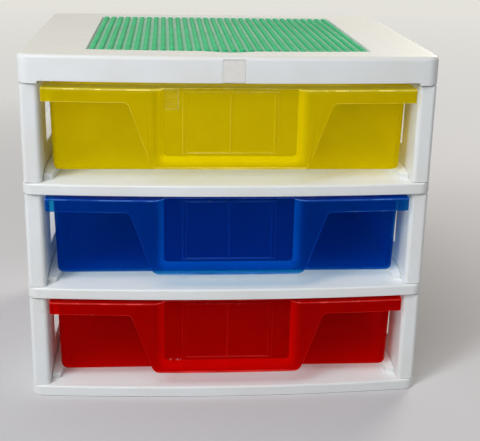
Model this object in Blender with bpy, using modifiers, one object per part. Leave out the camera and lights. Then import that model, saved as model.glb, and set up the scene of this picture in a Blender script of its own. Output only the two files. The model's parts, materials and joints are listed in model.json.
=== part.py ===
# Three-tier drawer chest for building blocks, with a stud plate let into its top.
# Metres, +Z up, the drawers open towards -Y, and the floor is at Z = 0.
import math

import bmesh
import bpy
from mathutils import Matrix, Vector

# The whole frame
FRAME_WIDTH = 0.3752
FRAME_DEPTH = 0.312
FRONT_BOW = 0.009
TIER_NAMES = ("bottom", "middle", "top")
TIER_PITCH = 0.101
SHELF_HEIGHT = 0.010
TOP_HEIGHT = 0.0264
CORNER_RADIUS = 0.010
SEAT_GAP = 0.0003
WALL = 0.0025
EDGE_ROUNDING = 0.0018
SMALL_ROUNDING = 0.0005
OVERRUN = 0.003
OVERLAP = 0.0006

# Facets of the rounded forms
BOW_FACETS = 24
CORNER_FACETS = 4
EDGE_FACETS = 3

# Side frames: a front and a rear post, a sill panel and a top rail in one moulding
SIDE_INSET = 0.0013
SIDE_THICKNESS = 0.0166
SIDE_WALL = 0.0021
POST_DEPTH = 0.050
POST_ROUNDING = 0.0042
SILL_HEIGHT = 0.0245
TOP_RAIL_HEIGHT = 0.017
WINDOW_RADIUS = 0.003
CORE_PITCH = 0.035
TONGUE_WIDTH = 0.0088
TONGUE_LENGTH = 0.016
TONGUE_HEIGHT = 0.006
PLUG_HEIGHT = 0.008
PLUG_CLEARANCE = 0.0005

# Shelves: floor, skirt, ribs below and drawer rails above
SHELF_FLOOR = 0.0025
RIB_THICKNESS = 0.0018
RIB_DEPTH = 0.002
RIB_LENGTHWISE = 3
RIB_CROSSWISE = 2
RAIL_HEIGHT = 0.0075
RAIL_NOSE_HEIGHT = 0.005
RAIL_SETBACK = 0.0135
RAIL_LEAD_LENGTH = 0.050
RAIL_RAMP_LENGTH = 0.020
RAIL_LEAD_SHARE = 0.54
RAIL_OVERLAP = 0.0085
STOP_HEIGHT = 0.015
STOP_LENGTH = 0.006
STOP_GAP = 0.0005

# Drawers
LIP_PROUD = 0.002
BODY_SETBACK = 0.020
DRAWER_WALL = 0.002
DRAWER_DRAFT = 0.0018
DRAWER_CORNER_RADIUS = 0.008
DRAWER_FOOT_RADIUS = 0.004
CEILING_GAP = 0.0033
FLANGE_SIDE_GAP = 0.0022
FLANGE_WIDTH = 0.0047
FLANGE_CORNER_RADIUS = 0.003
REAR_MARGIN = 0.009
LIP_HEIGHT = 0.0119
APRON_LIFT = 0.0083
APRON_HALF_WIDTH = 0.0913
APRON_TAPER_SHARE = 0.356
APRON_FILLET = 0.005
APRON_CORNER_RADIUS = 0.0085
DISH_HALF_WIDTH = 0.0728
DISH_TAPER_SHARE = 0.103
DISH_FLOOR_HALF_WIDTH = 0.060
DISH_BOTTOM_EDGE = 0.0021
DISH_BOTTOM_SLOPE_HEIGHT = 0.0088
DISH_DEPTH = 0.007
DISH_FRONT_RADIUS = 0.011
DISH_FLOOR_RADIUS = 0.0025
PATTERN_RELIEF = 0.0007
PATTERN_LINE = 0.0012
PATTERN_BORDER = 0.0038
PATTERN_HALF_WIDTH = 0.043
PATTERN_TOP_MARGIN = 0.0025
PATTERN_BOTTOM_MARGIN = 0.0018

# Top panel and stud plate
TOP_CORNER_RADIUS = 0.011
TOP_EDGE_ROUNDING = 0.0045
TOP_EDGE_FACETS = 4
TOP_THICKNESS = 0.0026
FASCIA_RELIEF = 0.0024
STUD_PITCH = 0.008
STUD_COUNT = 32
STUD_HEIGHT = 0.0018
PLATE_BASE_THICKNESS = 0.0014
PLATE_MARGIN = 0.0002
PLATE_RADIUS = 0.0015
PLATE_REAR_SETBACK = 0.0290
RECESS_CLEARANCE = 0.0013
RECESS_FRONT_BOW = 0.006
NOTCH_DEPTH = 0.0085
NOTCH_HALF_WIDTH = 0.028
NOTCH_FACETS = 12

# Blank label let into the front of the top panel
LABEL_SIZE = 0.0197
LABEL_SHIFT = 0.0018
LABEL_THICKNESS = 0.0004
LABEL_RADIUS = 0.001
LABEL_DROP = 0.0134

# Merge and clean-up limits
WELD_DISTANCE = 0.000001
FLAT_ANGLE = 0.0005
SHARP_ANGLE = math.radians(30)

# Places that follow from the sizes above
HALF_WIDTH = FRAME_WIDTH / 2
FULL_DEPTH = FRAME_DEPTH + FRONT_BOW + LIP_PROUD
BACK_Y = FULL_DEPTH / 2
CORNER_Y = BACK_Y - FRAME_DEPTH
LIP_Y = CORNER_Y - LIP_PROUD
OPENING_HEIGHT = TIER_PITCH - SHELF_HEIGHT
SIDE_OUTER_X = HALF_WIDTH - SIDE_INSET
SIDE_INNER_X = SIDE_OUTER_X - SIDE_THICKNESS
SIDE_MID_X = (SIDE_OUTER_X + SIDE_INNER_X) / 2
SIDE_FRONT_Y = CORNER_Y + SIDE_INSET
SIDE_BACK_Y = BACK_Y - SIDE_INSET
SIDE_HEIGHT = OPENING_HEIGHT - 2 * SEAT_GAP
CHANNEL_RIB_X = SIDE_INNER_X + SEAT_GAP
TONGUE_INSET = (POST_DEPTH - TONGUE_LENGTH) / 2
FLANGE_HALF_WIDTH = SIDE_INNER_X - FLANGE_SIDE_GAP
BODY_HALF_WIDTH = FLANGE_HALF_WIDTH - FLANGE_WIDTH
BODY_FOOT_HALF_WIDTH = BODY_HALF_WIDTH - DRAWER_DRAFT
BODY_Y = LIP_Y + BODY_SETBACK
BODY_LENGTH = BACK_Y - REAR_MARGIN - FLANGE_WIDTH - BODY_Y
DRAWER_LIFT = RAIL_HEIGHT + SEAT_GAP
DRAWER_HEIGHT = OPENING_HEIGHT - CEILING_GAP - DRAWER_LIFT
RAIL_INNER_X = BODY_FOOT_HALF_WIDTH - RAIL_OVERLAP
RAIL_OUTER_X = SIDE_INNER_X - SEAT_GAP
RAIL_FRONT_Y = SIDE_FRONT_Y + RAIL_SETBACK
RAIL_BACK_Y = BODY_Y + BODY_LENGTH + STOP_GAP + STOP_LENGTH
PLATE_SIZE = STUD_PITCH * STUD_COUNT - 2 * PLATE_MARGIN
PLATE_HEIGHT = PLATE_BASE_THICKNESS + STUD_HEIGHT
PLATE_BACK_Y = BACK_Y - PLATE_REAR_SETBACK
PLATE_MID_Y = PLATE_BACK_Y - PLATE_SIZE / 2
RECESS_DEPTH = PLATE_HEIGHT + SEAT_GAP
TOP_Z = TIER_PITCH * len(TIER_NAMES)
FULL_HEIGHT = TOP_Z + TOP_HEIGHT

# Finishes: colour, roughness and how much light passes through
WHITE_PLASTIC = ("white_polypropylene", (0.78, 0.79, 0.77), 0.38, 0.0)
GREEN_PLASTIC = ("green_abs", (0.05, 0.42, 0.20), 0.30, 0.0)
LABEL_PAPER = ("label_film", (0.85, 0.85, 0.83), 0.45, 0.0)
DRAWER_FINISHES = {
    "top": ("yellow_polypropylene", (0.62, 0.46, 0.01), 0.18, 0.5),
    "middle": ("blue_polypropylene", (0.01, 0.06, 0.36), 0.18, 0.5),
    "bottom": ("red_polypropylene", (0.45, 0.01, 0.01), 0.18, 0.5),
}


def clear_scene():
    for old in list(bpy.data.objects):
        bpy.data.objects.remove(old)


def bow_at(x):
    return FRONT_BOW * (1 - (x / HALF_WIDTH) ** 2)


def arc(centre_x, centre_y, radius, start_deg, end_deg, facets=CORNER_FACETS):
    points = []
    for step in range(facets + 1):
        angle = math.radians(start_deg + (end_deg - start_deg) * step / facets)
        points.append((centre_x + radius * math.cos(angle), centre_y + radius * math.sin(angle)))
    return points


def bowed_front(half_width, front_y, radius):
    """Points from the left side round to the right side, along the bowed front."""
    reach = half_width - radius
    points = arc(-reach, front_y + radius, radius, 180, 270)
    for step in range(1, BOW_FACETS):
        points.append((-reach + 2 * reach * step / BOW_FACETS, front_y))
    points += arc(reach, front_y + radius, radius, 270, 360)
    return [(x, y - bow_at(x)) for x, y in points]


def bowed_outline(half_width, front_y, back_y, front_radius, back_radius):
    reach = half_width - back_radius
    outline = bowed_front(half_width, front_y, front_radius)
    outline += arc(reach, back_y - back_radius, back_radius, 0, 90)
    outline += arc(-reach, back_y - back_radius, back_radius, 90, 180)
    return outline


def rounded_polygon(corners, facets=CORNER_FACETS):
    """Corners are (x, y, radius), anticlockwise; each one is replaced by its fillet."""
    points = []
    for index, (x, y, radius) in enumerate(corners):
        here = Vector((x, y))
        before = (Vector(corners[index - 1][:2]) - here).normalized()
        after = (Vector(corners[(index + 1) % len(corners)][:2]) - here).normalized()
        if radius == 0:
            points.append((x, y))
            continue
        half_angle = before.angle(after) / 2
        centre = here + (before + after).normalized() * radius / math.sin(half_angle)
        start = here + before * radius / math.tan(half_angle) - centre
        end = here + after * radius / math.tan(half_angle) - centre
        sweep = start.angle_signed(end)
        for step in range(facets + 1):
            turned = start.copy()
            turned.rotate(Matrix.Rotation(-sweep * step / facets, 2))
            points.append(tuple(centre + turned))
    return points


def rectangle(low_x, high_x, low_y, high_y, radius):
    corners = ((low_x, low_y), (high_x, low_y), (high_x, high_y), (low_x, high_y))
    return rounded_polygon([(x, y, radius) for x, y in corners])


def add_object(name, mesh):
    made = bpy.data.objects.new(name, mesh)
    bpy.context.scene.collection.objects.link(made)
    return made


def tidy(mesh):
    """Welds the seams and clears the edges that lie within flat faces."""
    work = bmesh.new()
    work.from_mesh(mesh)
    bmesh.ops.remove_doubles(work, verts=work.verts, dist=WELD_DISTANCE)
    bmesh.ops.dissolve_degenerate(work, edges=work.edges, dist=WELD_DISTANCE)
    bmesh.ops.dissolve_limit(work, angle_limit=FLAT_ANGLE, verts=work.verts, edges=work.edges)
    bmesh.ops.recalc_face_normals(work, faces=work.faces)
    work.to_mesh(mesh)
    work.free()


def plate(outline, low, high):
    """A flat outline in X and Y, as thick as low to high in Z."""
    curve = bpy.data.curves.new("outline", "CURVE")
    curve.dimensions = "2D"
    curve.fill_mode = "BOTH"
    curve.extrude = (high - low) / 2
    spline = curve.splines.new("POLY")
    spline.points.add(len(outline) - 1)
    for point, (x, y) in zip(spline.points, outline):
        point.co = (x, y, 0, 1)
    spline.use_cyclic_u = True
    holder = add_object("outline", curve)
    bpy.context.view_layer.update()
    mesh = bpy.data.meshes.new_from_object(holder.evaluated_get(bpy.context.evaluated_depsgraph_get()))
    bpy.data.objects.remove(holder)
    bpy.data.curves.remove(curve)
    mesh.transform(Matrix.Translation((0, 0, (low + high) / 2)))
    tidy(mesh)
    return add_object("plate", mesh)


def upright_plate(outline, low_y, high_y):
    """A flat outline in X and Z, as thick as low_y to high_y in Y."""
    made = plate(outline, -high_y, -low_y)
    made.data.transform(Matrix.Rotation(math.radians(90), 4, "X"))
    return made


def sideways_plate(outline, low_x, high_x):
    """A flat outline in Y and Z, as thick as low_x to high_x in X."""
    made = plate(outline, low_x, high_x)
    made.data.transform(Matrix.Rotation(math.radians(90), 4, "Z") @ Matrix.Rotation(math.radians(90), 4, "X"))
    return made


def box(low, high):
    work = bmesh.new()
    bmesh.ops.create_cube(work, size=1)
    size = [top - bottom for bottom, top in zip(low, high)]
    middle = [(bottom + top) / 2 for bottom, top in zip(low, high)]
    work.transform(Matrix.Translation(middle) @ Matrix.Diagonal((*size, 1)))
    mesh = bpy.data.meshes.new("box")
    work.to_mesh(mesh)
    work.free()
    return add_object("box", mesh)


def loft(front, back, front_y, back_y):
    """A solid between two outlines in X and Z that have as many points as each other."""
    work = bmesh.new()
    near = [work.verts.new((x, front_y, z)) for x, z in front]
    far = [work.verts.new((x, back_y, z)) for x, z in back]
    work.faces.new(near)
    work.faces.new(list(reversed(far)))
    for index in range(len(near)):
        following = (index + 1) % len(near)
        work.faces.new((near[following], near[index], far[index], far[following]))
    bmesh.ops.recalc_face_normals(work, faces=work.faces)
    mesh = bpy.data.meshes.new("loft")
    work.to_mesh(mesh)
    work.free()
    return add_object("loft", mesh)


def settle(body):
    """Turns the object's modifiers into its own mesh."""
    bpy.context.view_layer.update()
    mesh = bpy.data.meshes.new_from_object(body.evaluated_get(bpy.context.evaluated_depsgraph_get()))
    body.modifiers.clear()
    body.data = mesh


def combine(body, tool, operation):
    change = body.modifiers.new("change", "BOOLEAN")
    change.object = tool
    change.operation = operation
    change.solver = "EXACT"
    settle(body)
    bpy.data.objects.remove(tool)


def cut(body, tool):
    combine(body, tool, "DIFFERENCE")


def join(body, tool):
    combine(body, tool, "UNION")


def round_edges(work, edges, radius, facets):
    bmesh.ops.bevel(work, geom=edges, offset=radius, segments=facets, profile=0.5, affect="EDGES")


def round_level_edges(body, level, radius, facets):
    """Rounds the sharp edges that lie flat at one height."""
    work = bmesh.new()
    work.from_mesh(body.data)
    picked = []
    for edge in work.edges:
        flat = all(abs(vertex.co.z - level) < WELD_DISTANCE for vertex in edge.verts)
        if flat and edge.calc_face_angle(0) > SHARP_ANGLE:
            picked.append(edge)
    round_edges(work, picked, radius, facets)
    work.to_mesh(body.data)
    work.free()


def tongue_ranges():
    """Where the side frames' tongues lie along Y."""
    front = SIDE_FRONT_Y + TONGUE_INSET
    back = SIDE_BACK_Y - TONGUE_INSET
    return ((front, front + TONGUE_LENGTH), (back - TONGUE_LENGTH, back))


def core_cells(low, high, pitch=CORE_PITCH):
    """Splits a hollow run along Y into cells with a web between them."""
    count = max(1, math.ceil((high - low) / pitch))
    length = (high - low - SIDE_WALL * (count - 1)) / count
    starts = [low + (length + SIDE_WALL) * step for step in range(count)]
    return [(start, start + length) for start in starts]


def post_cells():
    front = core_cells(SIDE_FRONT_Y + SIDE_WALL, SIDE_FRONT_Y + POST_DEPTH - SIDE_WALL)
    back = core_cells(SIDE_BACK_Y - POST_DEPTH + SIDE_WALL, SIDE_BACK_Y - SIDE_WALL)
    return front, back


def side_frame_mesh():
    half = SIDE_THICKNESS / 2
    half_core = half - SIDE_WALL
    window_front = SIDE_FRONT_Y + POST_DEPTH
    window_back = SIDE_BACK_Y - POST_DEPTH
    window_top = SIDE_HEIGHT - TOP_RAIL_HEIGHT
    body = plate(rectangle(-half, half, SIDE_FRONT_Y, SIDE_BACK_Y, POST_ROUNDING), 0, SIDE_HEIGHT)
    round_level_edges(body, SIDE_HEIGHT, SMALL_ROUNDING, 1)
    window = rectangle(window_front, window_back, SILL_HEIGHT, window_top, WINDOW_RADIUS)
    cut(body, sideways_plate(window, -half - OVERRUN, half + OVERRUN))
    front_cells, back_cells = post_cells()
    for low, high in front_cells + back_cells:
        cut(body, box((-half_core, low, -OVERRUN), (half_core, high, SIDE_HEIGHT - SIDE_WALL)))
    for low, high in core_cells(window_front, window_back):
        cut(body, box((-half_core, low, -OVERRUN), (half_core, high, SILL_HEIGHT - SIDE_WALL)))
        cut(body, box((-half_core, low, window_top + SIDE_WALL), (half_core, high, SIDE_HEIGHT + OVERRUN)))
    for low, high in tongue_ranges():
        tongue_top = SIDE_HEIGHT + SEAT_GAP + TONGUE_HEIGHT
        join(body, box((-TONGUE_WIDTH / 2, low, SIDE_HEIGHT - OVERLAP), (TONGUE_WIDTH / 2, high, tongue_top)))
    return body.data


def channel_ribs(body, under):
    """Ribs below a shelf or the top panel that the side frames' heads and tongues meet."""
    for side in (-1, 1):
        inner, outer = sorted((side * CHANNEL_RIB_X, side * (CHANNEL_RIB_X + RIB_THICKNESS)))
        join(body, box((inner, CORNER_Y + WALL / 2, 0), (outer, BACK_Y - WALL / 2, under + OVERLAP)))
        near, far = sorted((side * (CHANNEL_RIB_X + RIB_THICKNESS / 2), side * (HALF_WIDTH - WALL / 2)))
        for low, high in tongue_ranges():
            for start in (low - PLUG_CLEARANCE - RIB_THICKNESS, high + PLUG_CLEARANCE):
                join(body, box((near, start, 0), (far, start + RIB_THICKNESS, under + OVERLAP)))


def shelf_blank(height, radius, rounding, facets, thickness):
    """The outer block of a shelf or the top panel, hollowed from below."""
    body = plate(bowed_outline(HALF_WIDTH, CORNER_Y, BACK_Y, radius, radius), 0, height)
    round_level_edges(body, height, rounding, facets)
    round_level_edges(body, 0, SMALL_ROUNDING, 1)
    inner_radius = radius - WALL
    hollow = bowed_outline(HALF_WIDTH - WALL, CORNER_Y + WALL, BACK_Y - WALL, inner_radius, inner_radius)
    cut(body, plate(hollow, -OVERRUN, height - thickness))
    channel_ribs(body, height - thickness)
    return body


def rail_outline(side):
    lead_x = RAIL_INNER_X + (RAIL_OUTER_X - RAIL_INNER_X) * RAIL_LEAD_SHARE
    points = [
        (RAIL_OUTER_X, RAIL_FRONT_Y, 0),
        (RAIL_OUTER_X, RAIL_BACK_Y, 0),
        (RAIL_INNER_X, RAIL_BACK_Y, 0),
        (RAIL_INNER_X, RAIL_FRONT_Y + RAIL_LEAD_LENGTH, RAIL_LEAD_LENGTH),
        (lead_x, RAIL_FRONT_Y, EDGE_ROUNDING),
    ]
    return [(side * x, y) for x, y in rounded_polygon(points)]


def add_rail(body, side):
    foot = SHELF_HEIGHT - OVERLAP
    rail_top = SHELF_HEIGHT + RAIL_HEIGHT
    rail = plate(rail_outline(side), foot, rail_top)
    nose = SHELF_HEIGHT + RAIL_NOSE_HEIGHT
    rise = (RAIL_HEIGHT - RAIL_NOSE_HEIGHT) / RAIL_RAMP_LENGTH * OVERRUN
    wedge = [
        (RAIL_FRONT_Y - OVERRUN, nose - rise),
        (RAIL_FRONT_Y + RAIL_RAMP_LENGTH + OVERRUN, rail_top + rise),
        (RAIL_FRONT_Y - OVERRUN, rail_top + rise),
    ]
    cut(rail, sideways_plate(wedge, -HALF_WIDTH, HALF_WIDTH))
    inner, outer = sorted((side * RAIL_INNER_X, side * RAIL_OUTER_X))
    stop_front = RAIL_BACK_Y - STOP_LENGTH
    join(rail, box((inner, stop_front, foot), (outer, RAIL_BACK_Y, SHELF_HEIGHT + STOP_HEIGHT)))
    join(body, rail)


def shelf_mesh():
    under = SHELF_HEIGHT - SHELF_FLOOR
    body = shelf_blank(SHELF_HEIGHT, CORNER_RADIUS, EDGE_ROUNDING, EDGE_FACETS, SHELF_FLOOR)
    rib_low = under - RIB_DEPTH
    rib_high = under + OVERLAP
    span = 2 * RAIL_INNER_X
    for step in range(RIB_LENGTHWISE):
        x = -RAIL_INNER_X + span * (step + 1) / (RIB_LENGTHWISE + 1)
        low = (x - RIB_THICKNESS / 2, CORNER_Y + WALL / 2, rib_low)
        join(body, box(low, (x + RIB_THICKNESS / 2, BACK_Y - WALL / 2, rib_high)))
    for step in range(RIB_CROSSWISE):
        y = CORNER_Y + FRAME_DEPTH * (step + 1) / (RIB_CROSSWISE + 1)
        low = (-CHANNEL_RIB_X - RIB_THICKNESS / 2, y - RIB_THICKNESS / 2, rib_low)
        join(body, box(low, (CHANNEL_RIB_X + RIB_THICKNESS / 2, y + RIB_THICKNESS / 2, rib_high)))
    for side in (-1, 1):
        add_rail(body, side)
    plug_half = SIDE_THICKNESS / 2 - SIDE_WALL - PLUG_CLEARANCE
    front_cells, back_cells = post_cells()
    for low, high in (front_cells[0], back_cells[-1]):
        for side in (-1, 1):
            middle = side * SIDE_MID_X
            foot = (middle - plug_half, low + PLUG_CLEARANCE, SHELF_HEIGHT - OVERLAP)
            head = (middle + plug_half, high - PLUG_CLEARANCE, SHELF_HEIGHT + PLUG_HEIGHT)
            join(body, box(foot, head))
    return body.data


def recess_outline(grow):
    """The stud plate's recess: a bowed front edge with a shallow thumb notch in its middle."""
    half = PLATE_SIZE / 2 + RECESS_CLEARANCE + grow
    front = PLATE_MID_Y - half
    points = []
    for step in range(BOW_FACETS + 1):
        x = -half + 2 * half * step / BOW_FACETS
        if abs(x) > NOTCH_HALF_WIDTH + grow:
            points.append((x, front - RECESS_FRONT_BOW * (1 - (x / half) ** 2)))
    notch = []
    for step in range(NOTCH_FACETS + 1):
        share = 2 * step / NOTCH_FACETS - 1
        x = share * (NOTCH_HALF_WIDTH + grow)
        dip = NOTCH_DEPTH * (1 + math.cos(math.pi * share)) / 2
        notch.append((x, front - RECESS_FRONT_BOW * (1 - (x / half) ** 2) - dip))
    middle = len(points) // 2
    points[middle:middle] = notch
    return points + [(half, PLATE_MID_Y + half), (-half, PLATE_MID_Y + half)]


def top_panel_mesh():
    body = shelf_blank(TOP_HEIGHT, TOP_CORNER_RADIUS, TOP_EDGE_ROUNDING, TOP_EDGE_FACETS, TOP_THICKNESS)
    relief_low = (-SIDE_INNER_X, CORNER_Y - FRONT_BOW - OVERRUN, -OVERRUN)
    cut(body, box(relief_low, (SIDE_INNER_X, CORNER_Y + WALL + OVERLAP, FASCIA_RELIEF)))
    pan_low = TOP_HEIGHT - RECESS_DEPTH - WALL
    join(body, plate(recess_outline(WALL), pan_low, TOP_HEIGHT - TOP_THICKNESS + OVERLAP))
    cut(body, plate(recess_outline(0), TOP_HEIGHT - RECESS_DEPTH, TOP_HEIGHT + OVERRUN))
    reach = LABEL_SIZE / 2 + SEAT_GAP
    middle = TOP_HEIGHT - LABEL_DROP
    pocket = rectangle(LABEL_SHIFT - reach, LABEL_SHIFT + reach, middle - reach, middle + reach, LABEL_RADIUS)
    front = CORNER_Y - FRONT_BOW
    cut(body, upright_plate(pocket, front - OVERRUN, front + LABEL_THICKNESS + SEAT_GAP))
    return body.data


def label_mesh():
    half = LABEL_SIZE / 2
    return upright_plate(rectangle(-half, half, -half, half, LABEL_RADIUS), 0, LABEL_THICKNESS).data


def stud_plate_mesh():
    """The plate's envelope: base sheet and stud field as one slab, flush with the top panel."""
    half = PLATE_SIZE / 2
    body = plate(rectangle(-half, half, -half, half, PLATE_RADIUS), 0, PLATE_HEIGHT)
    round_level_edges(body, 0, SEAT_GAP, 1)
    return body.data


def apron_outline():
    """The lip band with the tapered apron below its middle, in X and Z."""
    side = FLANGE_HALF_WIDTH + OVERRUN
    lip_z = DRAWER_HEIGHT - LIP_HEIGHT
    foot_x = APRON_HALF_WIDTH - (lip_z - APRON_LIFT) * APRON_TAPER_SHARE
    return rounded_polygon([
        (side, DRAWER_HEIGHT + OVERRUN, 0),
        (-side, DRAWER_HEIGHT + OVERRUN, 0),
        (-side, lip_z, 0),
        (-APRON_HALF_WIDTH, lip_z, APRON_FILLET),
        (-foot_x, APRON_LIFT, APRON_CORNER_RADIUS),
        (foot_x, APRON_LIFT, APRON_CORNER_RADIUS),
        (APRON_HALF_WIDTH, lip_z, APRON_FILLET),
        (side, lip_z, 0),
    ])


def dish_outline(reach, grow, top_z):
    """The scoop's outline, from its floor (reach 0) out to the front face (reach 1)."""
    foot_z = APRON_LIFT + DISH_BOTTOM_EDGE + DISH_BOTTOM_SLOPE_HEIGHT * (1 - reach) - grow
    radius = DISH_FLOOR_RADIUS + (DISH_FRONT_RADIUS - DISH_FLOOR_RADIUS) * reach + grow
    taper = DISH_TAPER_SHARE * reach
    rim_x = DISH_FLOOR_HALF_WIDTH + (DISH_HALF_WIDTH - DISH_FLOOR_HALF_WIDTH) * reach + grow
    foot_x = rim_x - taper * (DRAWER_HEIGHT - foot_z)
    head_x = rim_x + taper * (top_z - DRAWER_HEIGHT)
    corners = [(head_x, top_z, 0), (-head_x, top_z, 0), (-foot_x, foot_z, radius), (foot_x, foot_z, radius)]
    return rounded_polygon(corners)


def dish_floor_y():
    return DISH_DEPTH - BODY_SETBACK - bow_at(DISH_HALF_WIDTH)


def dish_solid(grow, front_y, back_y, top_z):
    floor_y = dish_floor_y()
    front_reach = (floor_y - front_y) / DISH_DEPTH
    back_reach = (floor_y - back_y) / DISH_DEPTH if back_y < floor_y else 0
    front = dish_outline(front_reach, grow, top_z)
    back = dish_outline(back_reach, grow, top_z)
    return loft(front, back, front_y, back_y)


def drawer_front():
    """Rim flange, front lip, apron and scoop; y is 0 at the foot of the bin's front wall."""
    flange_y = -BODY_SETBACK
    rear_y = BODY_LENGTH + FLANGE_WIDTH
    rear_radius = DRAWER_CORNER_RADIUS
    rim = bowed_outline(FLANGE_HALF_WIDTH, flange_y, rear_y, FLANGE_CORNER_RADIUS, rear_radius)
    body = plate(rim, APRON_LIFT - OVERRUN, DRAWER_HEIGHT)
    front_y = flange_y - FRONT_BOW - OVERRUN
    past = rear_y + OVERRUN
    combine(body, upright_plate(apron_outline(), front_y, past), "INTERSECT")
    inner_radius = FLANGE_CORNER_RADIUS - DRAWER_WALL
    inner = bowed_front(FLANGE_HALF_WIDTH - DRAWER_WALL, flange_y + DRAWER_WALL, inner_radius)
    side = FLANGE_HALF_WIDTH + OVERRUN
    turn_y = inner[0][1] + OVERRUN
    pocket_outline = inner + [(side, turn_y), (side, past), (-side, past), (-side, turn_y)]
    pocket = plate(pocket_outline, APRON_LIFT - 2 * OVERRUN, DRAWER_HEIGHT - DRAWER_WALL)
    floor_y = dish_floor_y()
    cut(pocket, dish_solid(DRAWER_WALL, front_y, floor_y + DRAWER_WALL, DRAWER_HEIGHT + OVERRUN))
    cut(body, pocket)
    cut(body, dish_solid(0, front_y, floor_y, DRAWER_HEIGHT + 2 * OVERRUN))
    return body


def drawer_bin():
    """The open bin below the rim, drawn in slightly towards its foot."""
    work = bmesh.new()
    bmesh.ops.create_cube(work, size=1)
    for vertex in work.verts:
        draft = DRAWER_DRAFT if vertex.co.z < 0 else 0
        vertex.co.x = math.copysign(BODY_HALF_WIDTH - draft, vertex.co.x)
        vertex.co.y = -DRAWER_DRAFT + draft if vertex.co.y < 0 else BODY_LENGTH - draft
        vertex.co.z = DRAWER_HEIGHT + OVERRUN if vertex.co.z > 0 else 0
    bmesh.ops.delete(work, geom=[face for face in work.faces if face.normal.z > 0.9], context="FACES_ONLY")
    upright = [edge for edge in work.edges if abs(edge.verts[0].co.z - edge.verts[1].co.z) > WELD_DISTANCE]
    round_edges(work, upright, DRAWER_CORNER_RADIUS, CORNER_FACETS)
    foot = [edge for edge in work.edges if all(abs(vertex.co.z) < WELD_DISTANCE for vertex in edge.verts)]
    round_edges(work, foot, DRAWER_FOOT_RADIUS, EDGE_FACETS)
    bmesh.ops.recalc_face_normals(work, faces=work.faces)
    mesh = bpy.data.meshes.new("bin")
    work.to_mesh(mesh)
    work.free()
    body = add_object("bin", mesh)
    wall = body.modifiers.new("wall", "SOLIDIFY")
    wall.thickness = DRAWER_WALL
    wall.offset = -1
    wall.use_even_offset = True
    settle(body)
    above = (-FLANGE_HALF_WIDTH, -BODY_SETBACK, DRAWER_HEIGHT)
    cut(body, box(above, (FLANGE_HALF_WIDTH, FULL_DEPTH, DRAWER_HEIGHT + 2 * OVERRUN)))
    return body


def pattern_bars():
    """Raised lines on the scoop's floor: a border and a middle line, as (low x, high x, low z, high z)."""
    low_z = APRON_LIFT + DISH_BOTTOM_EDGE + DISH_BOTTOM_SLOPE_HEIGHT + PATTERN_BOTTOM_MARGIN
    high_z = DRAWER_HEIGHT - PATTERN_TOP_MARGIN
    half = PATTERN_HALF_WIDTH
    line = PATTERN_LINE
    return (
        (-half, -half + PATTERN_BORDER, low_z, high_z),
        (half - PATTERN_BORDER, half, low_z, high_z),
        (-line / 2, line / 2, low_z, high_z),
        (-half, half, low_z, low_z + line),
        (-half, half, high_z - line, high_z),
    )


def drawer_mesh():
    body = drawer_front()
    reach = DRAWER_WALL / 2
    side = BODY_HALF_WIDTH - reach
    front = reach - DRAWER_DRAFT
    hole = rectangle(-side, side, front, BODY_LENGTH - reach, DRAWER_CORNER_RADIUS - reach)
    cut(body, plate(hole, DRAWER_HEIGHT - 2 * DRAWER_WALL, DRAWER_HEIGHT + OVERRUN))
    join(body, drawer_bin())
    floor_y = dish_floor_y()
    for low_x, high_x, low_z, high_z in pattern_bars():
        join(body, box((low_x, floor_y - PATTERN_RELIEF, low_z), (high_x, floor_y + OVERLAP, high_z)))
    return body.data


def finish_material(finish):
    name, colour, roughness, see_through = finish
    material = bpy.data.materials.get(name)
    if material is None:
        material = bpy.data.materials.new(name)
        material.use_nodes = True
        shader = material.node_tree.nodes["Principled BSDF"]
        shader.inputs["Base Color"].default_value = (*colour, 1)
        shader.inputs["Roughness"].default_value = roughness
        shader.inputs["Metallic"].default_value = 0
        shader.inputs["Transmission Weight"].default_value = see_through
        material.diffuse_color = (*colour, 1)
    return material


def place(name, mesh, finish, location, collection):
    """Adds one named sub-part with its own material, moved to its place in the chest."""
    own_mesh = mesh.copy()
    own_mesh.name = name
    own_mesh.materials.clear()
    own_mesh.materials.append(finish_material(finish))
    own_mesh.shade_smooth()
    own_mesh.set_sharp_from_angle(angle=SHARP_ANGLE)
    part = bpy.data.objects.new(name, own_mesh)
    part.location = location
    collection.objects.link(part)
    return part


def clear_workpieces(collection):
    for left_over in list(bpy.context.scene.collection.objects):
        bpy.data.objects.remove(left_over)
    bpy.context.scene.collection.children.link(collection)


def build():
    clear_scene()
    chest = bpy.data.collections.new("block_storage_chest")
    shelf = shelf_mesh()
    side_frame = side_frame_mesh()
    drawer = drawer_mesh()
    for tier, tier_name in enumerate(TIER_NAMES):
        shelf_z = TIER_PITCH * tier
        floor_z = shelf_z + SHELF_HEIGHT
        place("shelf_" + tier_name, shelf, WHITE_PLASTIC, (0, 0, shelf_z), chest)
        for side_name, side in (("left", -1), ("right", 1)):
            where = (side * SIDE_MID_X, 0, floor_z + SEAT_GAP)
            place("side_frame_" + tier_name + "_" + side_name, side_frame, WHITE_PLASTIC, where, chest)
        where = (0, BODY_Y, floor_z + DRAWER_LIFT)
        place("drawer_" + tier_name, drawer, DRAWER_FINISHES[tier_name], where, chest)
    place("top_panel", top_panel_mesh(), WHITE_PLASTIC, (0, 0, TOP_Z), chest)
    place("stud_plate", stud_plate_mesh(), GREEN_PLASTIC, (0, PLATE_MID_Y, FULL_HEIGHT - PLATE_HEIGHT), chest)
    label_at = (LABEL_SHIFT, CORNER_Y - FRONT_BOW, FULL_HEIGHT - LABEL_DROP)
    place("front_label", label_mesh(), LABEL_PAPER, label_at, chest)
    clear_workpieces(chest)


build()
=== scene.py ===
import json
import math
from functools import partial

import bmesh
import bpy
from mathutils import Matrix, Vector


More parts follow.
